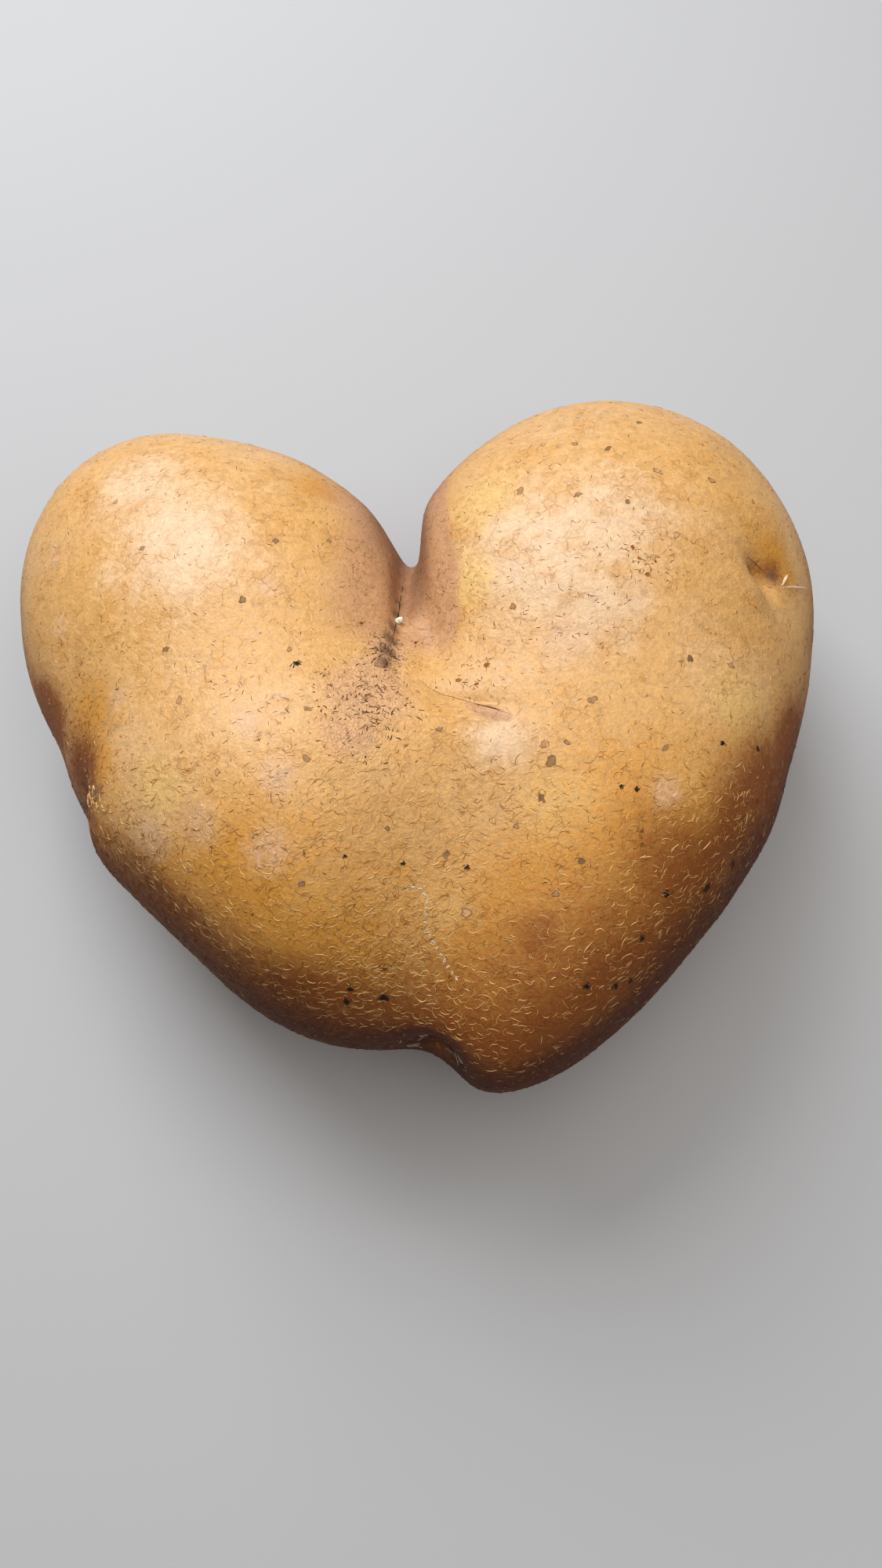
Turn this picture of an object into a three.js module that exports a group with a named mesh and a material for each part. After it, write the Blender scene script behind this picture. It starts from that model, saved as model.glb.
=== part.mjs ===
// A heart-shaped potato, one solid tuber: two lobes that grew together over one body.
// Millimetres, +Z up. It lies on three low flat spots, one under each lobe and one under the body.
// The origin is at the middle of its base.
// +Y points to the two lobes and -Y to the blunt tip.
import * as THREE from "three";
import { mergeVertices } from "three/addons/utils/BufferGeometryUtils.js";

// The swellings of the tuber: ellipsoids, each with a turn about Z in degrees.
const LEFT_LOBE = { centre: [-22.5, 9, 23], radii: [28, 40, 23], turn: 38 };
const RIGHT_LOBE = { centre: [25.5, 14.5, 24.5], radii: [29.5, 34, 24.5], turn: -17 };
const BODY = { centre: [-1.5, -11, 24.5], radii: [41, 14.5, 22], turn: 3 };
const LEFT_FLANK = { centre: [-13.5, -23, 25], radii: [20.5, 14.5, 19.5], turn: -64 };
const TIP_FLANK = { centre: [25.5, -20.5, 25], radii: [32.5, 14, 19], turn: 56 };

// How far the swellings run into each other: tight in the cleft, soft elsewhere.
const CLEFT_BLEND = 3;
const FLANK_BLEND = 18;
const BODY_BLEND = 9;

// Hollows pressed into the skin near a point, longest along a direction, each with an optional brow:
// a low ridge on its left, seen along that direction. Lengths and widths are to 1/e of the depth.
const CLEFT_GROOVE = { near: [-2.6, 21, 27], along: [0, -1, 0.8], length: 44, width: 5, depth: 3.5, brow: 0 };
const LOBE_CREASE = { near: [6.5, -5.5, 46], along: [-10, 3.5, 0], length: 15, width: 4.5, depth: 1.4, brow: 0.5 };
const RIGHT_EYE_DISH = { near: [46, 13, 43], along: [1, -1, -0.6], length: 13, width: 9, depth: 1.2, brow: 0 };
const RIGHT_EYE = { near: [45, 12, 44], along: [1, -1, -0.6], length: 6, width: 3, depth: 1.2, brow: 0.4 };
const LEFT_EYE = { near: [-43, -14, 28], along: [5, 5, 6], length: 15, width: 7, depth: 2, brow: 0 };
const STEM_SCAR = { near: [3, -46, 26], along: [8, -5, 0], length: 8, width: 9, depth: 3, brow: 0 };
const LOBE_BACK_DENT = { near: [-27, 43, 28], along: [1, 0, 0], length: 16, width: 20, depth: 1, brow: 0 };
const LOBE_BACK_EYE = { near: [34, 46, 20], along: [1, 0, 0.2], length: 8, width: 4, depth: 1.3, brow: 0.5 };
const LEFT_SIDE_EYE = { near: [-52, 18, 16], along: [0.2, 1, 0], length: 8, width: 4, depth: 1.3, brow: 0.5 };
const UNDER_EYE = { near: [-22, 22, 2], along: [1, 0.4, 0], length: 8, width: 4, depth: 1.2, brow: 0.4 };
const TIP_UNDER_EYE = { near: [30, -24, 8], along: [1, 1, 0], length: 8, width: 4, depth: 1.2, brow: 0.4 };
const HOLLOWS = [
  CLEFT_GROOVE, LOBE_CREASE, RIGHT_EYE_DISH, RIGHT_EYE, LEFT_EYE, STEM_SCAR, LOBE_BACK_DENT,
  LOBE_BACK_EYE, LEFT_SIDE_EYE, UNDER_EYE, TIP_UNDER_EYE,
];
const HOLLOW_REACH = 8;
const BROW_OFFSET = 1.9;
const BROW_SPREAD = 1.3;

// How far above the lowest point the rounded base is cut flat.
const BASE_CUT = 1;

// Mesh: splits of each edge of the starting icosahedron, rounds of evening the triangles out,
// and how much closer vertices stand in the hollows.
const EDGE_SPLITS = 24;
const RELAX_ROUNDS = 60;
const RELAX_SHARE = 0.5;
const CROWDING = 0.8;
const SEARCH_REACH = 90;
const SEARCH_STEPS = 40;
const NEWTON_STEPS = 8;
const GRADIENT_STEP = 0.01;
const SAME_POINT = 1e-5;
const TINY = 1e-9;
const HEART_MIDDLE = new THREE.Vector3(0, -6, 24);

const SKIN = { color: 0xc99a4e, roughness: 0.55, metalness: 0 };

// Distance in millimetres from a point to an ellipsoid, exact enough near its surface.
function ellipsoidDistance({ centre, radii, turn }, point) {
  const local = point.clone().sub(new THREE.Vector3(...centre));
  local.applyAxisAngle(new THREE.Vector3(0, 0, 1), -THREE.MathUtils.degToRad(turn));
  const size = new THREE.Vector3(...radii);
  const scaled = local.clone().divide(size);
  const slope = scaled.clone().divide(size).length();
  const reach = scaled.length();
  return (reach * (reach - 1)) / Math.max(slope, TINY);
}

// The nearer of two distances, rounded off where they are within blend of each other.
function smoothUnion(a, b, blend) {
  const share = THREE.MathUtils.clamp(0.5 + (0.5 * (b - a)) / blend, 0, 1);
  return THREE.MathUtils.lerp(b, a, share) - blend * share * (1 - share);
}

// Distance to the five swellings run together, with no hollows.
function plainDistance(point) {
  const left = ellipsoidDistance(LEFT_LOBE, point);
  const right = ellipsoidDistance(RIGHT_LOBE, point);
  const lobes = smoothUnion(left, right, CLEFT_BLEND);
  const body = ellipsoidDistance(BODY, point);
  const flank = smoothUnion(body, ellipsoidDistance(LEFT_FLANK, point), FLANK_BLEND);
  const low = smoothUnion(flank, ellipsoidDistance(TIP_FLANK, point), FLANK_BLEND);
  return smoothUnion(lobes, low, BODY_BLEND);
}

// Outward slope of a distance at a point, by central differences.
function gradientOf(distance, point) {
  const slope = new THREE.Vector3();
  for (const axis of ["x", "y", "z"]) {
    const ahead = point.clone();
    const behind = point.clone();
    ahead[axis] += GRADIENT_STEP;
    behind[axis] -= GRADIENT_STEP;
    slope[axis] = (distance(ahead) - distance(behind)) / (2 * GRADIENT_STEP);
  }
  return slope;
}

// One Newton step from a point to where a distance is zero.
function stepToSurface(distance, point) {
  const slope = gradientOf(distance, point);
  return point.addScaledVector(slope, -distance(point) / slope.lengthSq());
}

// A hollow with its own frame on the plain surface: middle, along, across and normal.
function seatHollow(hollow) {
  const middle = new THREE.Vector3(...hollow.near);
  for (let step = 0; step < NEWTON_STEPS; step += 1) stepToSurface(plainDistance, middle);
  const normal = gradientOf(plainDistance, middle).normalize();
  const along = new THREE.Vector3(...hollow.along).projectOnPlane(normal).normalize();
  const across = normal.clone().cross(along);
  return { ...hollow, middle, normal, along, across };
}

// How far a seated hollow lowers the skin at a point. Its brow raises it.
function hollowDepth({ middle, normal, along, across, length, width, depth, brow }, point) {
  const local = point.clone().sub(middle);
  const u = local.dot(along) / (length / 2);
  const v = local.dot(across) / (width / 2);
  const w = local.dot(normal) / HOLLOW_REACH;
  const dip = depth * Math.exp(-(u * u + v * v + w * w));
  const side = (v - BROW_OFFSET) / BROW_SPREAD;
  return dip - brow * Math.exp(-(u * u + side * side + w * w));
}

const seatedHollows = HOLLOWS.map(seatHollow);

// Distance to the finished skin.
function skinDistance(point) {
  return seatedHollows.reduce((sum, hollow) => sum + hollowDepth(hollow, point), plainDistance(point));
}

// Where a ray from the heart's middle leaves the tuber.
function skinAlong(direction) {
  let inside = 0;
  let outside = SEARCH_REACH;
  for (let step = 0; step < SEARCH_STEPS; step += 1) {
    const middle = (inside + outside) / 2;
    const point = HEART_MIDDLE.clone().addScaledVector(direction, middle);
    if (skinDistance(point) < 0) inside = middle;
    else outside = middle;
  }
  return HEART_MIDDLE.clone().addScaledVector(direction, inside);
}

// The neighbours of each vertex of an indexed geometry.
function neighboursOf(index, count) {
  const around = Array.from({ length: count }, () => new Set());
  for (let i = 0; i < index.length; i += 3) {
    for (let k = 0; k < 3; k += 1) {
      around[index[i + k]].add(index[i + ((k + 1) % 3)]);
      around[index[i + k]].add(index[i + ((k + 2) % 3)]);
    }
  }
  return around.map((set) => [...set]);
}

// How strongly vertices crowd together at a point: more in the hollows, so that they come out sharp.
function crowding(point) {
  return 1 + CROWDING * seatedHollows.reduce((sum, hollow) => sum + Math.abs(hollowDepth(hollow, point)), 0);
}

// Slides each vertex along the skin towards the middle of its neighbours, so that triangles even out.
function relax(points, around) {
  let current = points;
  for (let round = 0; round < RELAX_ROUNDS; round += 1) {
    const pull = current.map(crowding);
    current = current.map((point, i) => {
      const mean = new THREE.Vector3();
      let total = 0;
      for (const j of around[i]) {
        mean.addScaledVector(current[j], pull[j]);
        total += pull[j];
      }
      mean.divideScalar(total);
      return stepToSurface(skinDistance, point.clone().lerp(mean, RELAX_SHARE));
    });
  }
  return current;
}

// The whole skin as one closed mesh: a ball's vertices moved out to the skin and evened out.
function tuberGeometry() {
  const ball = new THREE.IcosahedronGeometry(1, EDGE_SPLITS - 1);
  ball.deleteAttribute("normal");
  ball.deleteAttribute("uv");
  const geometry = mergeVertices(ball, SAME_POINT);
  const position = geometry.getAttribute("position");
  const points = Array.from({ length: position.count }, (_, i) =>
    skinAlong(new THREE.Vector3().fromBufferAttribute(position, i).normalize()),
  );
  const even = relax(points, neighboursOf(geometry.index.array, position.count));
  even.forEach((point, i) => position.setXYZ(i, ...point.toArray()));
  geometry.computeBoundingBox();
  return geometry;
}

// Cuts the base flat and moves the origin to the middle of it.
function layDown(geometry) {
  const { min, max } = geometry.boundingBox;
  geometry.translate(-(min.x + max.x) / 2, -(min.y + max.y) / 2, -min.z - BASE_CUT);
  const position = geometry.getAttribute("position");
  for (let i = 0; i < position.count; i += 1) position.setZ(i, Math.max(position.getZ(i), 0));
  geometry.computeVertexNormals();
  return geometry;
}

const potato = new THREE.Mesh(layDown(tuberGeometry()), new THREE.MeshStandardMaterial(SKIN));
potato.name = "potato";

const part = new THREE.Group();
part.add(potato);

export default part;
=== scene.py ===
"""Heart-shaped potato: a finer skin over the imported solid, with its marks, in a plain studio."""
import math

import bpy
import numpy as np
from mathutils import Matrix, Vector, noise
from mathutils.bvhtree import BVHTree


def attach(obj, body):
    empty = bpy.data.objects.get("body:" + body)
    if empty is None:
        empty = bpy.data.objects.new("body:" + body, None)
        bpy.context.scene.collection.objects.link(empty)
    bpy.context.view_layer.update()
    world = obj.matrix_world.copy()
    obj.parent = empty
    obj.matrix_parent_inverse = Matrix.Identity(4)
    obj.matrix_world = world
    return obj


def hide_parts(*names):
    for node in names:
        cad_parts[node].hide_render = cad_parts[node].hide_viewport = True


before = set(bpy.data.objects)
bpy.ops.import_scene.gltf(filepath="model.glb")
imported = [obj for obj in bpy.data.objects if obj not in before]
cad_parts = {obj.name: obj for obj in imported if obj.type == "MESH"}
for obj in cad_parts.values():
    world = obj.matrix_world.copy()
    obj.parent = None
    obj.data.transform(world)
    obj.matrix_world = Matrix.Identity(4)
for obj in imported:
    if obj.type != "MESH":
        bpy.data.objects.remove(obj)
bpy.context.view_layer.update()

# Millimetres in metres
MM = 0.001
# Keeps a division from failing
TINY = 1e-9
SEED = 7

# Camera: the photo's view, in millimetres, degrees and pixels of the 1125 x 2000 frame
EYE = np.array([3.97, -62.25, 171.6])
TILT = math.radians(20)
FOCAL_PIXELS = 1500
FRAME_CENTRE = (562.5, 1000)
LENS_MM = 27
SENSOR_MM = 36
CLIP_START = 0.005
RIGHT = np.array([1, 0, 0])
UP = np.array([0, math.cos(TILT), math.sin(TILT)])
FORWARD = np.array([0, math.sin(TILT), -math.cos(TILT)])

# The swellings of the tuber, as in the solid: ellipsoids, each with a turn about Z in degrees
LEFT_LOBE = {"centre": (-22.5, 9, 23), "radii": (28, 40, 23), "turn": 38}
RIGHT_LOBE = {"centre": (25.5, 14.5, 24.5), "radii": (29.5, 34, 24.5), "turn": -17}
BODY = {"centre": (-1.5, -11, 24.5), "radii": (41, 14.5, 22), "turn": 3}
LEFT_FLANK = {"centre": (-13.5, -23, 25), "radii": (20.5, 14.5, 19.5), "turn": -64}
TIP_FLANK = {"centre": (25.5, -20.5, 25), "radii": (32.5, 14, 19), "turn": 56}
CLEFT_BLEND = 3
FLANK_BLEND = 18
BODY_BLEND = 9
# How far the solid's skin was moved so that its base's middle is the origin
SKIN_SHIFT = np.array([0.093, 0.304, -0.908])


def hollow(near, along, length, width, depth, brow=0.0):
    """A hollow pressed into the skin near a point, longest along a direction, with a brow on its left."""
    return {"near": near, "along": along, "length": length, "width": width, "depth": depth, "brow": brow}


# The solid's hollows, with the crease made softer and the right eye's brow on its other side
CLEFT_GROOVE = hollow((-2.6, 21, 27), (0, -1, 0.8), 44, 5, 3.5)
LOBE_CREASE = hollow((6.5, -5.5, 46), (-10, 3.5, 0), 15, 4.5, 0.7, 0.4)
RIGHT_EYE_DISH = hollow((46, 13, 43), (1, -1, -0.6), 13, 9, 1.2)
RIGHT_EYE = hollow((45, 12, 44), (-1, 1, 0.6), 6, 3, 1.2, 0.4)
LEFT_EYE = hollow((-43, -14, 28), (5, 5, 6), 15, 7, 2)
STEM_SCAR = hollow((3, -46, 26), (8, -5, 0), 8, 9, 3)
LOBE_BACK_DENT = hollow((-27, 43, 28), (1, 0, 0), 16, 20, 1)
LOBE_BACK_EYE = hollow((34, 46, 20), (1, 0, 0.2), 8, 4, 1.3, 0.5)
LEFT_SIDE_EYE = hollow((-52, 18, 16), (0.2, 1, 0), 8, 4, 1.3, 0.5)
UNDER_EYE = hollow((-22, 22, 2), (1, 0.4, 0), 8, 4, 1.2, 0.4)
TIP_UNDER_EYE = hollow((30, -24, 8), (1, 1, 0), 8, 4, 1.2, 0.4)
HIDDEN_EYES = [LOBE_BACK_EYE, LEFT_SIDE_EYE, UNDER_EYE, TIP_UNDER_EYE]
SOLID_HOLLOWS = [
    CLEFT_GROOVE, LOBE_CREASE, RIGHT_EYE_DISH, RIGHT_EYE, LEFT_EYE, STEM_SCAR, LOBE_BACK_DENT, *HIDDEN_EYES,
]

# Finer hollows that only this skin is fine enough for
CREASE_SLIT = hollow((7.5, -5.6, 44), (-10, 3.2, 0), 8, 1.0, 0.3, 0.1)
CLEFT_FOLD = hollow((-1.1, 18.5, 36), (-0.3, -12.5, 10), 28, 2.4, 2.1)
RIGHT_EYE_PIT = hollow((45.4, 13, 43), (-1, 1, 0.6), 4.5, 2.2, 1.0, 0.3)
LEFT_EYE_PIT = hollow((-42, -14.5, 28), (3, 5, 6), 7, 2.5, 0.9, 0.3)
PIT_LENGTH = 4.5
PIT_WIDTH = 1.6
PIT_DEPTHS = (0.6, 0.6, 0.5, 0.5)
HIDDEN_PITS = [
    hollow(eye["near"], eye["along"], PIT_LENGTH, PIT_WIDTH, depth)
    for eye, depth in zip(HIDDEN_EYES, PIT_DEPTHS)
]
FINE_HOLLOWS = [CREASE_SLIT, CLEFT_FOLD, RIGHT_EYE_PIT, LEFT_EYE_PIT, *HIDDEN_PITS]
HOLLOW_REACH = 8
BROW_OFFSET = 1.9
BROW_SPREAD = 1.3

# How the fine skin is made
NEWTON_STEPS = 6
GRADIENT_STEP = 0.01
SPLIT_ROUNDS = 2
SAME_POINT_DIGITS = 3

# Unevenness of the skin: wavelength and height in millimetres, and a shift that sets the layers apart
UNDULATIONS = [(18, 0.3), (8, 0.1), (3, 0.02)]
UNDULATION_SHIFT = 31.7

# Colours, linear
TAN = (0.60, 0.325, 0.105)
# Pale cream skin, also laid on the lobes' tops as a painted highlight
CREAM_AND_HIGHLIGHT = (0.66, 0.45, 0.27)
GOLD = (0.53, 0.225, 0.022)
PALE_YELLOW = (0.66, 0.41, 0.14)
ROSY = (0.46, 0.235, 0.115)
# Reddish brown of the russet skin, also used as painted shade on the steep and lower sides
RUSSET_AND_SHADE = (0.20, 0.045, 0.003)
# Painted shade in dark brown for the lower edges
LOW_EDGE_SHADE = (0.07, 0.012, 0.001)
ROUGH_TAN = (0.60, 0.33, 0.165)
# Painted shade for the depth of the cleft
CLEFT_SHADE = (0.27, 0.125, 0.058)
VEIL = (0.60, 0.365, 0.21)
# Dark brown for patches in the cleft and the two eyes
HOLLOW_DARK = (0.15, 0.08, 0.04)
BLACK = (0.012, 0.009, 0.007)
HOLE_BROWN = (0.055, 0.024, 0.011)
DARK_BROWN = (0.10, 0.043, 0.019)
GREY_BROWN = (0.36, 0.195, 0.085)
CREASE_BROWN = (0.24, 0.09, 0.045)
SLIT_BROWN = (0.07, 0.022, 0.012)
# Near-black for the line along the foot of the cleft
CLEFT_FOOT_DARK = (0.04, 0.024, 0.016)
RUST = (0.28, 0.10, 0.02)
PALE_FLAKE = (0.74, 0.44, 0.16)
GOLD_FLAKE = (0.40, 0.15, 0.022)
PAPER = (0.70, 0.55, 0.40)
CURL_LIGHT = (1.35, 1.45, 1.7)
BUD_GREEN = (0.62, 0.62, 0.42)
BUD_WHITE = (0.80, 0.78, 0.66)
FLOOR_GREY = (0.42, 0.42, 0.43)

# Patches of colour: pixels of the photo and radii in millimetres
VEIL_PATCHES = [
    (340, 1085, 3.6), (255, 1055, 3.6), (195, 1068, 3.8), (720, 815, 4.2), (850, 1010, 2.6), (318, 922, 2.4),
    (355, 990, 2.8), (343, 747, 1.8), (70, 715, 1.8), (77, 798, 2.0), (150, 890, 2.0),
]
# Painted highlights on the tops of the lobes and below the crease
PAINTED_HIGHLIGHT_PATCHES = [
    (230, 690, 11), (180, 620, 8), (690, 700, 12), (780, 660, 10), (640, 940, 5), (770, 770, 7),
]
GOLD_PATCHES = [
    (120, 980, 5), (300, 1120, 8), (230, 1130, 5), (115, 905, 5), (700, 1210, 8), (988, 711, 3.5),
    (1006, 735, 2), (620, 1260, 7), (830, 1090, 6), (400, 1230, 8), (410, 625, 4), (130, 1080, 4),
]
YELLOW_PATCHES = [
    (400, 1175, 5), (600, 1190, 6), (880, 1010, 4), (620, 640, 5), (720, 1030, 6), (200, 1000, 4),
    (600, 740, 4), (950, 900, 5),
]
# Russet patches that also carry painted shade along the lower edges and at the tip
RUSSET_AND_SHADE_PATCHES = [
    (960, 1040, 8), (900, 1160, 11), (800, 1235, 11), (700, 1300, 12), (640, 1330, 11), (560, 1310, 9),
    (440, 1300, 7), (250, 1195, 3), (110, 980, 3), (1005, 950, 4), (860, 1110, 7), (690, 1200, 4),
    (984, 729, 1.5), (65, 905, 3), (760, 1260, 11), (500, 1320, 9),
]
POCKET_PATCHES = [(598, 898, 0.6), (610, 904, 1.0), (622, 908, 1.2), (634, 912, 1.1), (646, 915, 0.7)]
# Darker patches along the cleft and in the two eyes
HOLLOW_DARK_PATCHES = [
    (512, 750, 0.5), (508, 768, 0.7), (505, 785, 0.9), (502, 800, 1.1), (498, 815, 1.3), (494, 830, 1.4),
    (490, 845, 1.2), (986, 735, 0.8), (112, 1032, 1.8), (122, 1012, 1.4),
]
ROUGH_PATCHES = [(470, 885, 6.0), (450, 930, 4.0), (495, 830, 3.0), (480, 860, 4.0)]

# Noise in the masks of colour: wavelength in millimetres, and a shift that sets it apart
WIDE_NOISE = (9, 3.1)
FINE_NOISE = (2.5, 8.4)
YELLOW_NOISE = (8, 14.2)
PAINTED_HIGHLIGHT_NOISE = (3.5, 44.4)
LOW_GOLD_NOISE = (14, 5.5)
LOW_VEIL_NOISE = (11, 25.5)

# Zones of colour: where each starts and is full, in millimetres
# across to the right (X), towards the lobes (Y) or towards the tip (-Y)
LOW_ZONE = (-10, 16)
TIP_GOLD_ZONE = (10, 34)
TIP_GOLD_RIGHT = (-5, 25)
RIGHT_LOW_ACROSS = (0, 26)
RIGHT_LOW_TIPWARD = (-4, 14)
FLAKY_ZONE = (4, 20)
LOW_EDGE_SHADE_ACROSS = (-40, -8)
ROSY_ZONE = (-2, 8)
LEFT_WALL = (1.5, 14)
RIGHT_WALL = (6, 9)
# Painted shade in the cleft: where it starts and is full along it, its middle across and its width
CLEFT_SHADE_ZONE = (5, 12)
CLEFT_SHADE_X = 0.1
CLEFT_SHADE_WIDTH = 2.6
# Below this height the photo shows little
LOW_HEIGHT = 20
# The line of the cleft, seen from above: a place on it, its slant and how far it wanders
CLEFT_X = -2
CLEFT_Y = 20
CLEFT_SLANT = 0.03
CLEFT_WANDER = 1.5

# Zones of colour by the skin's slope: 0 on top, 1 upright, 2 underneath
STEEP_ZONE = (0.12, 0.8)
LOW_EDGE_SHADE_ZONE = (0.2, 0.85)
SLOPE_WOBBLE = 0.12
# How far the skin faces down, and how far it turns away from the camera
UNDER_ZONE = (0.2, 1.0)
HIDDEN_ZONE = (-0.1, 0.45)
TURN_WOBBLE = 0.15

# Strength of the zones of colour
LOW_SCURF = 0.55
LOW_SCURF_START = 0.25
LOW_GOLD = 0.35
TIP_GOLD = 0.4
TIP_GOLD_MORE = 0.3
RIGHT_LOW_GOLD = 0.45
POCKET_STRENGTH = 1.2
RUSSET_AND_SHADE_HIGH = 0.72
RUSSET_AND_SHADE_PATCH = 0.85
RUSSET_AND_SHADE_HIDDEN_FADE = 0.35
LOW_EDGE_SHADE_LEFT = 0.45
LOW_EDGE_SHADE_HIDDEN_FADE = 0.85
UNDER_FADE = 0.55
FLAKY_LEAST = 0.12
FLAKY_STEEP = 0.5
YELLOW_WOBBLE = 0.30
PAINTED_HIGHLIGHT_WOBBLE = 0.2

# Round marks: pixels of the photo, radius in millimetres
BLACK_SPOTS = [
    (379, 846, 0.55), (850, 1141, 0.6), (901, 1133, 0.9), (934, 1103, 0.85), (442, 1278, 0.7),
    (447, 1262, 0.6), (490, 1273, 0.8), (819, 1198, 0.55), (785, 1257, 0.6), (748, 1258, 0.55),
    (804, 1251, 0.5), (922, 948, 0.45), (967, 956, 0.45), (792, 1003, 0.35), (514, 1102, 0.32),
    (440, 1092, 0.28), (812, 1007, 0.5), (595, 1106, 0.36),
]
GREY_SPOTS = [
    (704, 972, 0.9), (693, 950, 0.55), (310, 765, 0.7), (212, 828, 0.6), (229, 893, 0.6), (352, 690, 0.6),
    (369, 828, 0.5), (595, 1165, 1.0), (709, 1140, 0.6), (654, 774, 0.6), (839, 601, 0.6), (908, 613, 0.6),
    (661, 588, 0.55), (733, 566, 0.5), (776, 572, 0.5), (693, 567, 0.5), (737, 631, 0.5), (664, 625, 0.7),
    (863, 682, 0.6), (815, 539, 0.5), (756, 892, 0.6), (933, 848, 0.5), (723, 947, 0.4), (690, 1017, 0.6),
    (494, 1056, 0.5), (569, 1089, 0.6), (659, 1054, 0.5), (849, 954, 0.5), (741, 1098, 0.5), (277, 985, 0.5),
    (392, 968, 0.5), (392, 904, 0.5), (170, 1049, 0.45), (240, 1110, 0.55), (385, 1128, 0.5), (148, 640, 0.5),
    (180, 700, 0.45), (420, 690, 0.5), (560, 930, 0.45), (880, 840, 0.5), (960, 640, 0.5), (800, 640, 0.45),
]
RUST_SPOTS = [
    (621, 848, 0.7), (585, 868, 0.65), (608, 872, 0.5), (489, 1236, 0.7), (807, 698, 0.6), (826, 732, 0.65),
    (965, 1021, 0.8), (992, 998, 0.5), (955, 1078, 0.5), (874, 1108, 0.5), (819, 1077, 0.6), (818, 1060, 0.5),
    (388, 1088, 0.4), (530, 820, 0.5), (461, 795, 0.45), (815, 712, 0.5), (836, 716, 0.4),
]
HIDDEN_SPOTS = 220
HIDDEN_SPOT_RADIUS = (0.35, 0.85)
HIDDEN_GREY_CHANCE = 0.7
# How large the raised spot is, as a share of the listed radius
GREY_SHARE = 0.85
RUST_SHARE = 0.5
BLACK_SHARE = 0.65
# Short splits round a spot: how many, how far out and how long in radii, how wide and how bent
RUST_SPLITS = 6
RUST_SPLIT_REACH = 0.9
RUST_SPLIT_WIDTH = (0.1, 0.2)
BLACK_SPLITS = 7
BLACK_SPLIT_REACH = 0.45
BLACK_SPLIT_WIDTH = (0.12, 0.3)
SPLIT_LENGTH = (0.8, 1.8)
SPLIT_BEND = 0.8
# Shape of a spot: sides, unevenness, the shares of its rings and how far its edge and root sink
SPOT_SIDES = 11
SPOT_WOBBLE = 0.4
SPOT_RINGS = (1.0, 0.7, 0.4)
SPOT_EDGE = -0.05
SPOT_ROOT = 0.3

# Shape of a bud: width and height of each ring, as shares, and how many rings belong to its collar
BUD_PROFILE = [(0.9, -0.3), (1.0, 0.1), (0.82, 0.35), (0.9, 0.45), (0.6, 0.75), (0.3, 0.95)]
BUD_COLLAR_RINGS = 3
BUD_SCALES = 3
BUD_WAVE = 0.1
BUD_ROOT = 0.4

# Slivers: how fast they taper, and how far they sink into the skin
SLIVER_TAPER = 0.6
SLIVER_SINK = 0.03
FINE_SINK = 0.01
PATH_WOBBLE = 0.18

# Regions dense in flakes: pixels of the photo, radius in millimetres, count for each square millimetre
FLAKE_REGIONS = [
    (515, 1200, 8, 2.6), (470, 1230, 6, 2.0), (580, 1240, 8, 0.8), (880, 1150, 10, 0.6), (960, 1020, 9, 0.8),
    (800, 1230, 10, 0.5), (120, 960, 8, 1.1), (95, 900, 7, 0.7), (190, 1120, 8, 0.9), (260, 1190, 8, 0.7),
    (330, 1250, 8, 0.6), (720, 1160, 10, 0.35), (1000, 900, 7, 0.5),
]
FLAKES_LOW = 0.85
FLAKES_UNDER = 0.08
FLAKES_ELSEWHERE = 0.02
# No marks this low, where the potato lies on the floor
BARE_HEIGHT = 0.6
# The skin counts as underside where its normal points lower than this
UNDER_TILT = -0.2
# The middle of the lower part, where flakes are longer, paler and lie across
CENTRE_HALF_WIDTH = 42
CENTRE_TOP = -12
CENTRE_TILT = 0.4
CENTRE_FLAKE_LENGTH = (0.7, 2.1)
CENTRE_FLAKE_HEADING = 0.7
CENTRE_PALE_CHANCE = 0.7
FLAKE_LENGTH = (0.4, 1.2)
PALE_CHANCE = 0.15
FLAKE_BEND = (0.5, 3.2)
FLAKE_WIDTH = (0.045, 0.09)
FLAKE_HEIGHT = (0.03, 0.09)
FLAKE_LEAN = (-0.05, 0.05)
# Painted shade on flakes at the steep edges: how much darker a flake is there, at most and at least
FLAKE_EDGE_SHADE = 0.85
FLAKE_EDGE_SHADE_LEAST = 0.4
# The painted shadow beside some flakes, on their side away from the light
FLAKE_SHADOW_CHANCE = 0.2
FLAKE_SHADOW_OFFSET = np.array([0, -0.13, 0])
FLAKE_SHADOW_WIDTH = 0.08

# Regions dense in cracks, as for the flakes
CRACK_REGIONS = [
    (470, 885, 5.0, 0.6), (450, 925, 5.0, 0.3), (495, 830, 2.6, 3.0), (355, 950, 9, 0.3), (330, 880, 9, 0.25),
    (540, 740, 9, 0.25), (470, 720, 8, 0.25), (620, 860, 6, 0.3), (700, 760, 9, 0.3), (820, 715, 4, 0.8),
    (480, 1250, 5, 0.3),
]
CRACKS_HIGH = 0.10
CRACKS_ELSEWHERE = 0.05
CRACK_ZONE = (-14, 0)
CRACK_HEIGHT = 0.025
CRACK_LENGTH = (0.35, 1.1)
CRACK_WIDTH = (0.07, 0.15)
CRACK_BEND = 0.7
ROUGH_CRACKS = [(470, 885, 4.2, 2.3), (455, 920, 4.0, 0.5), (492, 835, 2.4, 3.2)]
ROUGH_CRACK_LENGTH = (0.4, 1.2)
ROUGH_CRACK_WIDTH = (0.12, 0.26)
ROUGH_CRACK_BEND = 1.2

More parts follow.
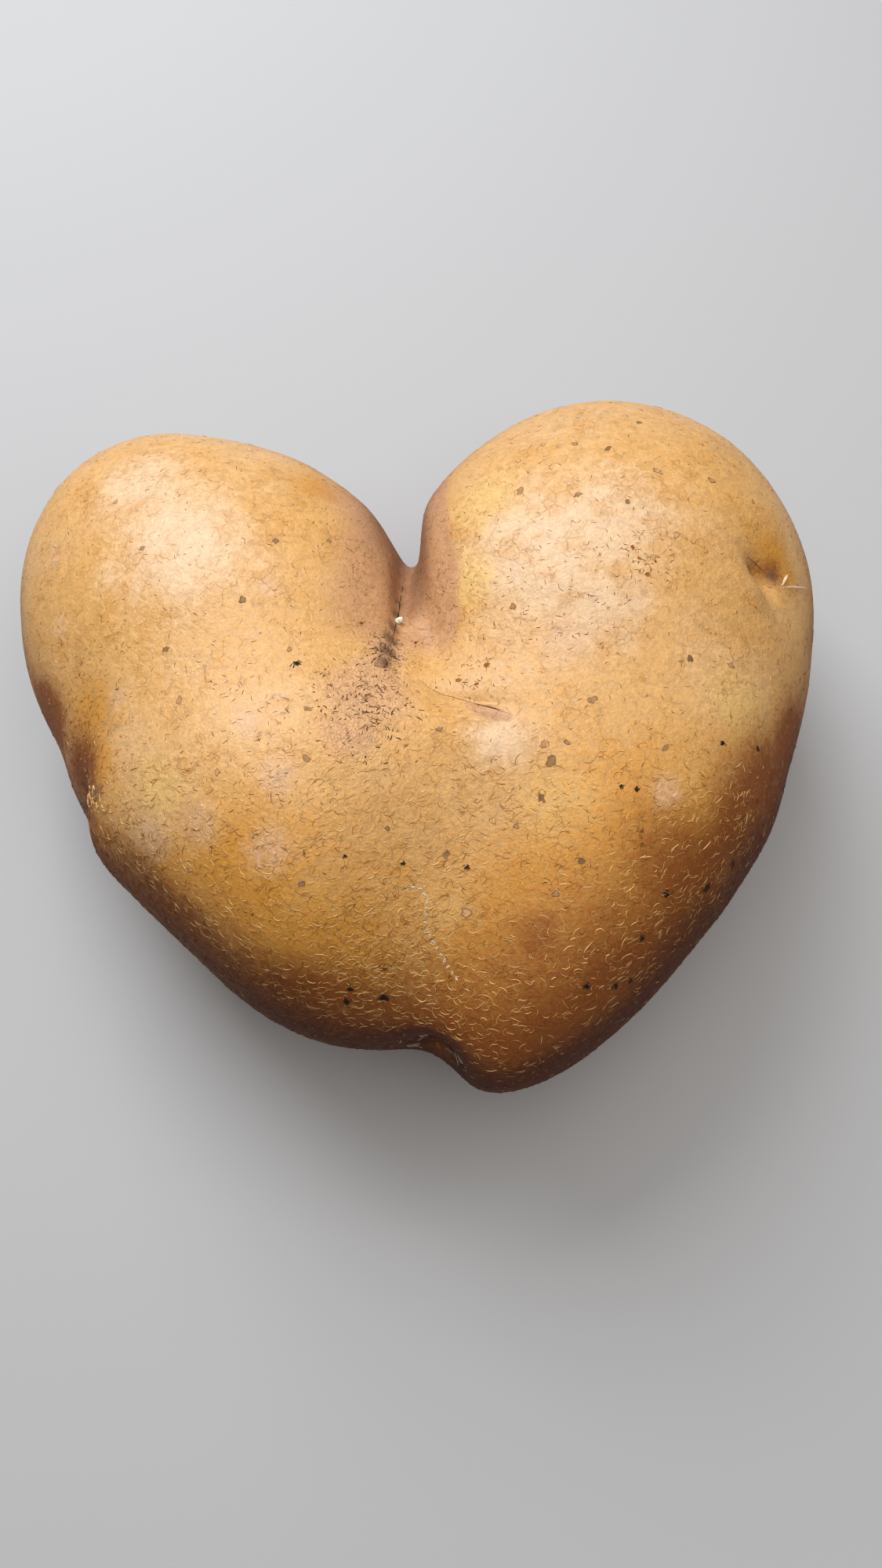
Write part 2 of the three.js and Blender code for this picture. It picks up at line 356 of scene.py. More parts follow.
# Lines on the skin, in pixels of the photo
CREASE_LINE = [(528, 861), (545, 876), (562, 885), (580, 890), (600, 895), (625, 903), (656, 912)]
SLIT_LINE = [(600, 897), (612, 899), (626, 902), (642, 907)]
SCAR_LINE = [(519, 1135), (533, 1131), (545, 1146), (542, 1183), (559, 1213), (571, 1233), (582, 1249)]
CLEFT_LINE = [(516, 738), (513, 752), (510, 768), (508, 785), (503, 805), (498, 825)]
EYE_LINE = [(952, 708), (964, 719), (976, 731), (986, 739), (992, 743)]
EYE_STUB_LINE = [(1005, 732), (1001, 740), (997, 748)]
EYE_LIP_LINE = [(996, 750), (1008, 749), (1020, 750), (1030, 751)]
LINE_SPACING = 0.5
STUB_SPACING = 0.4
# Dark lines: pixels, width in millimetres and colour
DARK_LINES = [
    (CREASE_LINE, 0.16, CREASE_BROWN),
    (SLIT_LINE, 0.26, SLIT_BROWN),
    (CLEFT_LINE, 0.28, CLEFT_FOOT_DARK),
    (EYE_LINE, 0.2, CREASE_BROWN),
]
# The dotted scar: a papery bit and a dark speck at each step
SCAR_SPACING = 0.8
SCAR_BIT_LENGTH = (0.5, 1.0)
SCAR_BIT_WIDTH = 0.34
SCAR_SPECK_LENGTH = (0.3, 0.7)
SCAR_SPECK_WIDTH = 0.11
SCAR_HEIGHT = 0.07
SCAR_BEND = 0.4
SCAR_STEPS = 4

# Buds and papery bits: pixels of the photo, counts, and how far they spread in millimetres
CLEFT_BUD = (507, 793)
LEFT_EYE_MIDDLE = (118, 1025)
STEM_BITS = 14
STEM_SPREAD = 1.6
STEM_BIT_LENGTH = (1.5, 3.2)
STEM_BIT_WIDTH = 0.16
STEM_BIT_HEIGHT = (0.1, 0.35)
STEM_BIT_LEAN = (-0.2, 0.2)
STEM_BIT_STEPS = 6
LIP_BITS = 22
LIP_SPREAD = 1.3
LIP_BIT_LENGTH = (0.6, 1.6)
LIP_BIT_WIDTH = 0.14
LIP_BIT_HEIGHT = (0.06, 0.2)
PAPER_BEND = 1.0

random = np.random.default_rng(SEED)


def ellipsoid_distance(swelling, points):
    """Distance to an ellipsoid, exact enough near its surface."""
    local = points - np.array(swelling["centre"], float)
    turn = math.radians(swelling["turn"])
    x = local[..., 0] * math.cos(turn) + local[..., 1] * math.sin(turn)
    y = local[..., 1] * math.cos(turn) - local[..., 0] * math.sin(turn)
    size = np.array(swelling["radii"], float)
    scaled = np.stack([x, y, local[..., 2]], axis=-1) / size
    slope = np.linalg.norm(scaled / size, axis=-1)
    reach = np.linalg.norm(scaled, axis=-1)
    return reach * (reach - 1) / np.maximum(slope, TINY)


def smooth_union(a, b, blend):
    """The nearer of two distances, rounded off where they are within blend of each other."""
    share = np.clip(0.5 + 0.5 * (b - a) / blend, 0, 1)
    return b + (a - b) * share - blend * share * (1 - share)


def plain_distance(points):
    """Distance to the five swellings run together, with no hollows."""
    left = ellipsoid_distance(LEFT_LOBE, points)
    lobes = smooth_union(left, ellipsoid_distance(RIGHT_LOBE, points), CLEFT_BLEND)
    body = ellipsoid_distance(BODY, points)
    flank = smooth_union(body, ellipsoid_distance(LEFT_FLANK, points), FLANK_BLEND)
    low = smooth_union(flank, ellipsoid_distance(TIP_FLANK, points), FLANK_BLEND)
    return smooth_union(lobes, low, BODY_BLEND)


def gradient(distance, points):
    """Outward slope of a distance, by central differences."""
    rises = [distance(points + step) - distance(points - step) for step in GRADIENT_STEP * np.eye(3)]
    return np.stack(rises, axis=-1) / (2 * GRADIENT_STEP)


def step_to_surface(distance, points):
    """One Newton step to where a distance is zero."""
    slope = gradient(distance, points)
    share = distance(points) / np.maximum((slope * slope).sum(axis=-1), TINY)
    return points - slope * share[..., None]


def unit(vectors):
    """Vectors made one long."""
    return vectors / np.linalg.norm(vectors, axis=-1, keepdims=True)


def seat(spec):
    """A hollow with its own frame on the plain surface."""
    middle = np.array(spec["near"], float)
    for _ in range(NEWTON_STEPS):
        middle = step_to_surface(plain_distance, middle)
    normal = unit(gradient(plain_distance, middle))
    along = np.array(spec["along"], float)
    along = unit(along - normal * (along @ normal))
    return {**spec, "middle": middle, "normal": normal, "along": along, "across": np.cross(normal, along)}


def hollow_depth(seated, points):
    """How far a seated hollow lowers the skin. Its brow raises it."""
    local = points - seated["middle"]
    u = local @ seated["along"] / (seated["length"] / 2)
    v = local @ seated["across"] / (seated["width"] / 2)
    w = local @ seated["normal"] / HOLLOW_REACH
    side = (v - BROW_OFFSET) / BROW_SPREAD
    dip = seated["depth"] * np.exp(-(u * u + v * v + w * w))
    return dip - seated["brow"] * np.exp(-(u * u + side * side + w * w))


seated_hollows = [seat(spec) for spec in SOLID_HOLLOWS + FINE_HOLLOWS]


def skin_distance(points):
    """Distance to the finished skin, before its unevenness."""
    return plain_distance(points) + sum(hollow_depth(h, points) for h in seated_hollows)


def noise_at(points, wavelength, shift=0.0):
    """Smooth noise from about -1 to 1 at points in millimetres."""
    scaled = points / wavelength + shift
    return np.array([noise.noise(Vector(p)) for p in scaled])


def smooth_step(low, high, values):
    """0 below low, 1 above high and a soft rise between."""
    t = np.clip((values - low) / (high - low), 0, 1)
    return t * t * (3 - 2 * t)


def split_triangles(points, triangles):
    """Each triangle cut into four at the middles of its edges."""
    edges = np.concatenate([triangles[:, [0, 1]], triangles[:, [1, 2]], triangles[:, [2, 0]]])
    unique, which = np.unique(np.sort(edges, axis=1), axis=0, return_inverse=True)
    ab, bc, ca = len(points) + which.reshape(3, -1)
    a, b, c = triangles.T
    quarters = [(a, ab, ca), (ab, b, bc), (ca, bc, c), (ab, bc, ca)]
    return (
        np.concatenate([points, points[unique].mean(axis=1)]),
        np.concatenate([np.stack(q, axis=1) for q in quarters]),
    )


def solid_mesh(node):
    """Merged points in millimetres and triangles of a CAD node."""
    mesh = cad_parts[node].data
    mesh.calc_loop_triangles()
    points = np.zeros(len(mesh.vertices) * 3)
    mesh.vertices.foreach_get("co", points)
    triangles = np.zeros(len(mesh.loop_triangles) * 3, dtype=np.int64)
    mesh.loop_triangles.foreach_get("vertices", triangles)
    points = points.reshape(-1, 3) / MM
    rounded = np.round(points, SAME_POINT_DIGITS)
    _, first, which = np.unique(rounded, axis=0, return_index=True, return_inverse=True)
    triangles = which.reshape(-1)[triangles].reshape(-1, 3)
    return points[first], triangles


def triangle_crosses(corners):
    """The cross product of two sides of each triangle: outward, and twice its area long."""
    return np.cross(corners[:, 1] - corners[:, 0], corners[:, 2] - corners[:, 0])


def vertex_normals(points, triangles):
    """Outward normals, weighted by area."""
    crosses = triangle_crosses(points[triangles])
    normals = np.zeros_like(points)
    for k in range(3):
        np.add.at(normals, triangles[:, k], crosses)
    return unit(normals)


# The fine skin: the solid's mesh split, set on the smooth form and made uneven
points, triangles = solid_mesh("potato")
for _ in range(SPLIT_ROUNDS):
    points, triangles = split_triangles(points, triangles)
points = points - SKIN_SHIFT
for _ in range(NEWTON_STEPS):
    points = step_to_surface(skin_distance, points)
points = points + SKIN_SHIFT
normals = vertex_normals(points, triangles)
lift = sum(
    height * noise_at(points, wave, UNDULATION_SHIFT * i) for i, (wave, height) in enumerate(UNDULATIONS)
)
points = points + normals * lift[:, None]
points[:, 2] = np.maximum(points[:, 2], 0)


def make_mesh(name, points, triangles, smooth):
    """A new object from points in millimetres and triangles."""
    mesh = bpy.data.meshes.new(name)
    mesh.from_pydata((points * MM).tolist(), [], triangles.tolist())
    mesh.polygons.foreach_set("use_smooth", np.full(len(triangles), smooth))
    mesh.update()
    piece = bpy.data.objects.new(name, mesh)
    bpy.context.scene.collection.objects.link(piece)
    return piece


skin = make_mesh("skin", points, triangles, True)
skin_tree = BVHTree.FromPolygons(points.tolist(), triangles.tolist())


def on_skin(pixel):
    """Where the photo's pixel falls on the skin: point and normal in millimetres."""
    x = (pixel[0] - FRAME_CENTRE[0]) / FOCAL_PIXELS
    y = (FRAME_CENTRE[1] - pixel[1]) / FOCAL_PIXELS
    direction = RIGHT * x + UP * y + FORWARD
    place, normal, _, _ = skin_tree.ray_cast(Vector(EYE), Vector(direction))
    if place is None:
        raise ValueError(f"pixel {pixel} misses the potato")
    return np.array(place), np.array(normal)


def nearest(place):
    """The skin's point nearest to a place, and its normal there."""
    found, normal, _, _ = skin_tree.find_nearest(Vector(place))
    return np.array(found), np.array(normal)


def tangents(normal):
    """Two directions along the skin, square to each other and to its normal."""
    start = np.array([1.0, 0, 0]) if abs(normal[0]) < 0.9 else np.array([0, 1.0, 0])
    first = unit(start - normal * (start @ normal))
    return first, np.cross(normal, first)


def ring_walls(first_rings, sides):
    """Triangles between each ring of points, named by its first point, and the ring after it."""
    walls = []
    for i in range(sides):
        j = (i + 1) % sides
        for ring in first_rings:
            walls.append((ring + i, ring + j, ring + sides + j))
            walls.append((ring + i, ring + sides + j, ring + sides + i))
    return walls


def ring_cap(ring, sides, tip):
    """Triangles from a ring of points to a tip above it."""
    return [(ring + i, ring + (i + 1) % sides, tip) for i in range(sides)]


def ring_floor(sides, root):
    """Triangles from the first ring of points to a root below it."""
    return [((i + 1) % sides, i, root) for i in range(sides)]


class Marks:
    """Small closed bits lying on the skin, gathered for one mesh with a colour at each point."""

    def __init__(self):
        self.points = []
        self.triangles = []
        self.tones = []

    def put(self, points, triangles, tones):
        """Adds one bit."""
        start = len(self.points)
        self.points.extend(points)
        self.triangles.extend([(a + start, b + start, c + start) for a, b, c in triangles])
        self.tones.extend(tones)

    def sliver(self, path, width, height, lean, tone, sink=SLIVER_SINK):
        """A thin sliver along a path, pointed at both ends, with its ridge leaning to its left."""
        seats = [nearest(p) for p in path]
        places = np.array([s[0] for s in seats])
        ups = np.array([s[1] for s in seats])
        ahead = np.gradient(places, axis=0)
        left = np.cross(ups, ahead)
        left = left / np.maximum(np.linalg.norm(left, axis=1, keepdims=True), TINY)
        last = len(places) - 1
        points = [places[0] - ups[0] * sink]
        for i in range(1, last):
            taper = math.sin(math.pi * i / last) ** SLIVER_TAPER
            low = places[i] - ups[i] * sink
            points.append(low - left[i] * width * taper / 2)
            points.append(low + left[i] * width * taper / 2)
            points.append(places[i] + left[i] * lean * taper + ups[i] * height * taper)
        points.append(places[last] - ups[last] * sink)
        end = len(points) - 1
        triangles = [(0, 1, 3), (0, 3, 2), (0, 2, 1)]
        for a in range(1, end - 3, 3):
            b, c = a + 1, a + 2
            for p, q in ((a, c), (c, b), (b, a)):
                triangles.append((p, p + 3, q + 3))
                triangles.append((p, q + 3, q))
        triangles += [(end, end - 1, end - 3), (end, end - 2, end - 1), (end, end - 3, end - 2)]
        self.put(points, triangles, [tone] * len(points))

    def spot(self, place, radius, stretch, tones, rim, dip):
        """An uneven round spot: a rim that stands up and a sunk middle, with a tone for each ring."""
        middle, up = nearest(place)
        first, second = tangents(up)
        turn = random.uniform(0, 2 * math.pi)
        long_way = first * math.cos(turn) + second * math.sin(turn)
        short_way = np.cross(up, long_way)
        points = []
        shades = []
        wobble = 1 + SPOT_WOBBLE * random.uniform(-1, 1, SPOT_SIDES)
        for share, height, tone in zip(SPOT_RINGS, (SPOT_EDGE, rim, dip), tones):
            for i in range(SPOT_SIDES):
                angle = 2 * math.pi * i / SPOT_SIDES
                reach = radius * share * wobble[i]
                way = long_way * math.cos(angle) * stretch + short_way * math.sin(angle)
                seat_place, seat_up = nearest(middle + way * reach)
                points.append(seat_place + seat_up * height)
                shades.append(tone)
        tip = len(points)
        points += [middle + up * dip, middle - up * SPOT_ROOT]
        shades += [tones[2], tones[0]]
        triangles = ring_walls((0, SPOT_SIDES), SPOT_SIDES)
        triangles += ring_cap(tip - SPOT_SIDES, SPOT_SIDES, tip)
        triangles += ring_floor(SPOT_SIDES, tip + 1)
        self.put(points, triangles, shades)

    def bud(self, place, radius, height, tone, tip_tone):
        """A small pointed bud with a collar of scales."""
        middle, up = nearest(place)
        first, second = tangents(up)
        points = []
        shades = []
        for k, (wide, tall) in enumerate(BUD_PROFILE):
            for i in range(SPOT_SIDES):
                angle = 2 * math.pi * i / SPOT_SIDES
                reach = radius * wide * (1 + BUD_WAVE * math.sin(BUD_SCALES * angle + k))
                way = first * math.cos(angle) + second * math.sin(angle)
                points.append(middle + way * reach + up * height * tall)
                shades.append(tone if k < BUD_COLLAR_RINGS else tip_tone)
        tip = len(points)
        points += [middle + up * height, middle - up * BUD_ROOT]
        shades += [tip_tone, tone]
        triangles = ring_walls(range(0, tip - SPOT_SIDES, SPOT_SIDES), SPOT_SIDES)
        triangles += ring_cap(tip - SPOT_SIDES, SPOT_SIDES, tip)
        triangles += ring_floor(SPOT_SIDES, tip + 1)
        self.put(points, triangles, shades)

    def make(self, name, material):
        """The mesh of all the bits, riding on the potato."""
        piece = make_mesh(name, np.array(self.points), np.array(self.triangles), False)
        tone = piece.data.color_attributes.new("tone", "FLOAT_COLOR", "POINT")
        shades = np.array([(*t, 1.0) for t in self.tones], dtype=np.float32)
        tone.data.foreach_set("color", shades.ravel())
        piece.data.materials.append(material)
        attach(piece, "root")


triangle_corners = points[triangles]
triangle_middles = triangle_corners.mean(axis=1)
crosses = triangle_crosses(triangle_corners)
triangle_areas = np.linalg.norm(crosses, axis=1) / 2
triangle_ups = unit(crosses)
away_from_camera = ((triangle_middles - EYE) * triangle_ups).sum(axis=1) > 0
bare = triangle_middles[:, 2] < BARE_HEIGHT


def region_density(regions):
    """How many marks for each square millimetre some soft regions ask for at each triangle."""
    density = np.zeros(len(triangle_middles))
    for x, y, radius, count in regions:
        middle, _ = on_skin((x, y))
        gap = np.linalg.norm(triangle_middles - middle, axis=1) / radius
        density += count * np.exp(-(gap ** 2))
    return density


def scatter(density):
    """Random places on the skin, with a density for each triangle."""
    expected = density * triangle_areas
    total = int(expected.sum())
    chosen = random.choice(len(expected), size=total, p=expected / expected.sum())
    shares = random.dirichlet((1, 1, 1), size=total)
    return (triangle_corners[chosen] * shares[:, :, None]).sum(axis=1), triangle_ups[chosen]


def wander(place, up, heading, length, bend, steps=5):
    """A curved path along the skin through a place."""
    first, second = tangents(up)
    angle = heading - bend / 2
    step = length / (steps - 1)
    path = [np.zeros(3)]
    for _ in range(steps - 1):
        path.append(path[-1] + (first * math.cos(angle) + second * math.sin(angle)) * step)
        angle += bend / (steps - 1) + random.normal(0, PATH_WOBBLE)
    path = np.array(path)
    return place + path - path.mean(axis=0)


def stray(place, up, lengths, bend_spread, steps=5):
    """A path through a place with a random heading, length and bend."""
    heading = random.uniform(0, math.pi)
    length = random.uniform(*lengths)
    bend = random.normal(0, bend_spread)
    return wander(place, up, heading, length, bend, steps)


def shade(tone, low, high):
    """A colour made lighter or darker by a random share."""
    return tuple(np.array(tone) * random.uniform(low, high))


def line_on_skin(pixels, spacing):
    """Points of the skin at even spacing along a line of pixels."""
    path = np.array([on_skin(p)[0] for p in pixels])
    gaps = np.linalg.norm(np.diff(path, axis=0), axis=1)
    reach = np.concatenate([[0], np.cumsum(gaps)])
    stops = np.linspace(0, reach[-1], max(2, int(reach[-1] / spacing) + 1))
    return np.stack([np.interp(stops, reach, path[:, k]) for k in range(3)], axis=1)


# Masks of the skin's colours, one number for each point
across = points[:, 0]
lobeward = points[:, 1]
tipward = -lobeward
wide_wobble = noise_at(points, *WIDE_NOISE)
fine_wobble = noise_at(points, *FINE_NOISE)
slope = 1 - normals[:, 2] + SLOPE_WOBBLE * wide_wobble
facing = (normals * unit(EYE - points)).sum(axis=1)
low_part = smooth_step(*LOW_ZONE, tipward)
steep = smooth_step(*STEEP_ZONE, slope)
under = smooth_step(*UNDER_ZONE, TURN_WOBBLE * wide_wobble - normals[:, 2])
hidden = smooth_step(*HIDDEN_ZONE, TURN_WOBBLE * wide_wobble - facing)
beneath = points[:, 2] < LOW_HEIGHT


def patchy(patches, scale, wide=0.0, fine=0.0):
    """For each point of the skin, the strongest of some soft round patches, made uneven."""
    strength = np.zeros(len(points))
    for x, y, radius in patches:
        middle, _ = on_skin((x, y))
        gap = np.linalg.norm(points - middle, axis=1) / (radius * scale)
        strength = np.maximum(strength, np.exp(-(gap ** 2)))
    return strength + wide * wide_wobble + fine * fine_wobble


def veil_mask():
    """Pale scurf, also in places low on the sides."""
    low_scurf = np.maximum(noise_at(points, *LOW_VEIL_NOISE) - LOW_SCURF_START, 0)
    patches = patchy(VEIL_PATCHES, scale=0.95, wide=0.12, fine=0.22)
    return patches + LOW_SCURF * np.where(beneath, low_scurf, 0)


def gold_mask():
    """Golden skin, most of all towards the tip and low on the right."""
    low_gold = np.maximum(noise_at(points, *LOW_GOLD_NOISE), 0)
    patches = patchy(GOLD_PATCHES, scale=1.2, wide=0.30, fine=0.12)
    right_low = smooth_step(*RIGHT_LOW_ACROSS, across) * smooth_step(*RIGHT_LOW_TIPWARD, tipward)
    tip_gold = TIP_GOLD + TIP_GOLD_MORE * smooth_step(*TIP_GOLD_RIGHT, across)
    tip_gold = tip_gold * smooth_step(*TIP_GOLD_ZONE, tipward)
    return patches + LOW_GOLD * np.where(beneath, low_gold, 0) + tip_gold + RIGHT_LOW_GOLD * right_low


def rosy_mask():
    """The rosy walls of the cleft and the pocket of the crease."""
    cleft_line = CLEFT_X - CLEFT_SLANT * (lobeward - CLEFT_Y)
    from_cleft = across - cleft_line + CLEFT_WANDER * wide_wobble
    left_wall = 1 - smooth_step(*LEFT_WALL, -from_cleft)
    right_wall = 1 - smooth_step(*RIGHT_WALL, from_cleft)
    walls = np.where(from_cleft < 0, left_wall, right_wall) * smooth_step(*ROSY_ZONE, lobeward)
    return np.maximum(walls, patchy(POCKET_PATCHES, scale=1.0) * POCKET_STRENGTH)


def russet_and_shade_mask():
    """Reddish brown skin with painted shade on the steep sides, strongest low down, and paler where the photo
    doesn't look.
    """
    sides = np.maximum(low_part * steep, RUSSET_AND_SHADE_HIGH * steep)
    whole = np.minimum(sides + RUSSET_AND_SHADE_PATCH * patchy(RUSSET_AND_SHADE_PATCHES, scale=1.45), 1)
    return whole * (1 - UNDER_FADE * under) * (1 - RUSSET_AND_SHADE_HIDDEN_FADE * hidden * low_part)


def low_edge_shade_mask():
    """Painted shade in dark brown on the lower edges, weaker on the left, and paler where the photo doesn't
    look.
    """
    edges = low_part * smooth_step(*LOW_EDGE_SHADE_ZONE, slope) * (1 - UNDER_FADE * under)
    sideways = LOW_EDGE_SHADE_LEFT + (1 - LOW_EDGE_SHADE_LEFT) * smooth_step(*LOW_EDGE_SHADE_ACROSS, across)
    return edges * sideways * (1 - LOW_EDGE_SHADE_HIDDEN_FADE * hidden)


def cleft_shade_mask():
    """Painted shade down the depth of the cleft."""
    return np.exp(-((across - CLEFT_SHADE_X) / CLEFT_SHADE_WIDTH) ** 2) * smooth_step(*CLEFT_SHADE_ZONE, lobeward)


SKIN_MASKS = {
    "veil": veil_mask(),
    "gold": gold_mask(),
    "yellow": patchy(YELLOW_PATCHES, scale=1.2) + YELLOW_WOBBLE * noise_at(points, *YELLOW_NOISE),
    "hollow_dark": patchy(HOLLOW_DARK_PATCHES, scale=1.0, fine=0.15),
    "rosy": rosy_mask(),
    "rough": patchy(ROUGH_PATCHES, scale=1.0),
    "russet_and_shade": russet_and_shade_mask(),
    "flaky": np.minimum(FLAKY_LEAST + smooth_step(*FLAKY_ZONE, tipward) + FLAKY_STEEP * steep, 1),
    "low_edge_shade": low_edge_shade_mask(),
    # painted highlight on the lobes' tops
    "painted_highlight": patchy(PAINTED_HIGHLIGHT_PATCHES, scale=1.0) + PAINTED_HIGHLIGHT_WOBBLE * noise_at(points, *PAINTED_HIGHLIGHT_NOISE),
    "cleft_shade": cleft_shade_mask(),
}
for name, values in SKIN_MASKS.items():
    attribute = skin.data.attributes.new(name, "FLOAT", "POINT")
    attribute.data.foreach_set("value", values.astype(np.float32))

flakes = Marks()
cracks = Marks()
spots = Marks()
buds = Marks()


def dark_sliver(path, width, tone):
    """A thin dark sliver along a path, for splits, dark lines and the painted shadows beside flakes."""
    cracks.sliver(path, width, CRACK_HEIGHT, 0, tone, FINE_SINK)


# Flakes: thin curled edges of skin, densest low down and round the sides
low_side = smooth_step(*FLAKY_ZONE, -triangle_middles[:, 1]) * (triangle_ups[:, 2] > UNDER_TILT)
under_side = triangle_ups[:, 2] <= UNDER_TILT
flake_density = FLAKES_ELSEWHERE + FLAKES_LOW * low_side + FLAKES_UNDER * under_side
flake_density = flake_density + region_density(FLAKE_REGIONS)
flake_density[bare] = 0
for place, up in zip(*scatter(flake_density)):
    central = abs(place[0]) < CENTRE_HALF_WIDTH and place[1] < CENTRE_TOP and up[2] > CENTRE_TILT
    length = random.uniform(*(CENTRE_FLAKE_LENGTH if central else FLAKE_LENGTH))
    heading = random.normal(0, CENTRE_FLAKE_HEADING) if central else random.uniform(0, math.pi)
    bend = random.choice([-1, 1]) * random.uniform(*FLAKE_BEND)
    path = wander(place, up, heading, length, bend)
    pale = random.random() < (CENTRE_PALE_CHANCE if central else PALE_CHANCE)
    tone = shade(PALE_FLAKE, 0.7, 1.1) if pale else shade(GOLD_FLAKE, 0.6, 1.2)
    # Painted shade: flakes on the steep edges are made darker
    edge = smooth_step(*STEEP_ZONE, 1 - up[2])
    tone = shade(tone, 1 - FLAKE_EDGE_SHADE * edge, 1 - FLAKE_EDGE_SHADE_LEAST * edge)
    height = random.uniform(*FLAKE_HEIGHT)
    lean = random.uniform(*FLAKE_LEAN)
    flakes.sliver(path, random.uniform(*FLAKE_WIDTH), height, lean, tone, FINE_SINK)
    # A painted shadow beside some flakes, on their side away from the light
    if random.random() < FLAKE_SHADOW_CHANCE:
        dark_sliver((path + FLAKE_SHADOW_OFFSET)[1:-1], FLAKE_SHADOW_WIDTH, shade(DARK_BROWN, 0.9, 2.2))

# Cracks: short dark splits, densest where the lobes meet
high_side = smooth_step(*CRACK_ZONE, triangle_middles[:, 1]) * (triangle_ups[:, 2] > 0)
crack_density = CRACKS_ELSEWHERE + CRACKS_HIGH * high_side + region_density(CRACK_REGIONS)
crack_density[bare] = 0
for place, up in zip(*scatter(crack_density)):
    path = stray(place, up, CRACK_LENGTH, CRACK_BEND)
    tone = shade(DARK_BROWN, 0.3, 1.8)
    dark_sliver(path, random.uniform(*CRACK_WIDTH), tone)
for place, up in zip(*scatter(region_density(ROUGH_CRACKS))):
    path = stray(place, up, ROUGH_CRACK_LENGTH, ROUGH_CRACK_BEND)
    dark_sliver(path, random.uniform(*ROUGH_CRACK_WIDTH), shade(DARK_BROWN, 0.3, 1.2))

# The crease, the slit in it, the foot of the cleft, the slit of the right eye, and the dotted scar
for line, width, tone in DARK_LINES:
    dark_sliver(line_on_skin(line, LINE_SPACING), width, tone)
for place in line_on_skin(SCAR_LINE, SCAR_SPACING):
    _, up = nearest(place)
    heading = random.uniform(0, math.pi)
    path = wander(place, up, heading, random.uniform(*SCAR_BIT_LENGTH), SCAR_BEND, SCAR_STEPS)
    flakes.sliver(path, SCAR_BIT_WIDTH, SCAR_HEIGHT, 0, shade(PAPER, 0.75, 1.0), FINE_SINK)
    heading = random.uniform(0, math.pi)
    path = wander(place, up, heading, random.uniform(*SCAR_SPECK_LENGTH), SCAR_BEND, SCAR_STEPS)
    cracks.sliver(path, SCAR_SPECK_WIDTH, SCAR_HEIGHT, 0, shade(DARK_BROWN, 0.9, 2.4))


def fray(place, up, radius, count, reach, widths, tone, tone_range):
    """Short splits round a spot."""
    lengths = [share * radius for share in SPLIT_LENGTH]
    for _ in range(count):
        start = place + random.normal(0, reach * radius, 3)
        path = stray(start, up, lengths, SPLIT_BEND)
        dark_sliver(path, random.uniform(*widths), shade(tone, *tone_range))


# Round corky spots, rusty scabs and black pits, then spots on the sides that the photo doesn't show
for x, y, radius in GREY_SPOTS:
    tone = shade(GREY_BROWN, 0.65, 1.3)
    tones = (TAN, shade(tone, 0.5, 0.9), shade(tone, 0.6, 1.5))
    stretch = random.uniform(1.0, 1.6)
    spots.spot(on_skin((x, y))[0], GREY_SHARE * radius, stretch, tones, rim=0.05, dip=0.03)
for x, y, radius in RUST_SPOTS:
    tone = shade(RUST, 0.5, 1.3)
    place, up = on_skin((x, y))
    stretch = random.uniform(1.0, 1.7)
    tones = (GOLD, tone, shade(tone, 0.5, 0.9))
    spots.spot(place, RUST_SHARE * radius, stretch, tones, rim=0.05, dip=0.04)
    fray(place, up, radius, RUST_SPLITS, RUST_SPLIT_REACH, RUST_SPLIT_WIDTH, RUST, (0.4, 1.1))
for x, y, radius in BLACK_SPOTS:
    place, up = on_skin((x, y))
    tones = (DARK_BROWN, HOLE_BROWN, BLACK)
    stretch = random.uniform(1.0, 1.8)
    spots.spot(place, BLACK_SHARE * radius, stretch, tones, rim=0.05, dip=0.04)
    fray(place, up, radius, BLACK_SPLITS, BLACK_SPLIT_REACH, BLACK_SPLIT_WIDTH, DARK_BROWN, (0.15, 0.7))
hidden_density = np.where(away_from_camera & (triangle_middles[:, 2] > BARE_HEIGHT), 1.0, 0.0)
hidden_density *= HIDDEN_SPOTS / (hidden_density * triangle_areas).sum()
for place, _ in zip(*scatter(hidden_density)):
    tone = shade(GREY_BROWN if random.random() < HIDDEN_GREY_CHANCE else RUST, 0.5, 1.4)
    radius = random.uniform(*HIDDEN_SPOT_RADIUS)
    stretch = random.uniform(1.0, 1.6)
    spots.spot(place, radius, stretch, (ROSY, tone, shade(tone, 0.5, 0.9)), rim=0.06, dip=0.03)

# Buds in the cleft and in the hidden eyes, and the stub in the right eye
buds.bud(on_skin(CLEFT_BUD)[0], radius=0.45, height=0.9, tone=BUD_GREEN, tip_tone=BUD_WHITE)
flakes.sliver(line_on_skin(EYE_STUB_LINE, STUB_SPACING), width=0.55, height=0.25, lean=0, tone=CREAM_AND_HIGHLIGHT)
for eye in HIDDEN_EYES:
    buds.bud(seat(eye)["middle"] + SKIN_SHIFT, radius=0.5, height=0.7, tone=ROSY, tip_tone=PAPER)

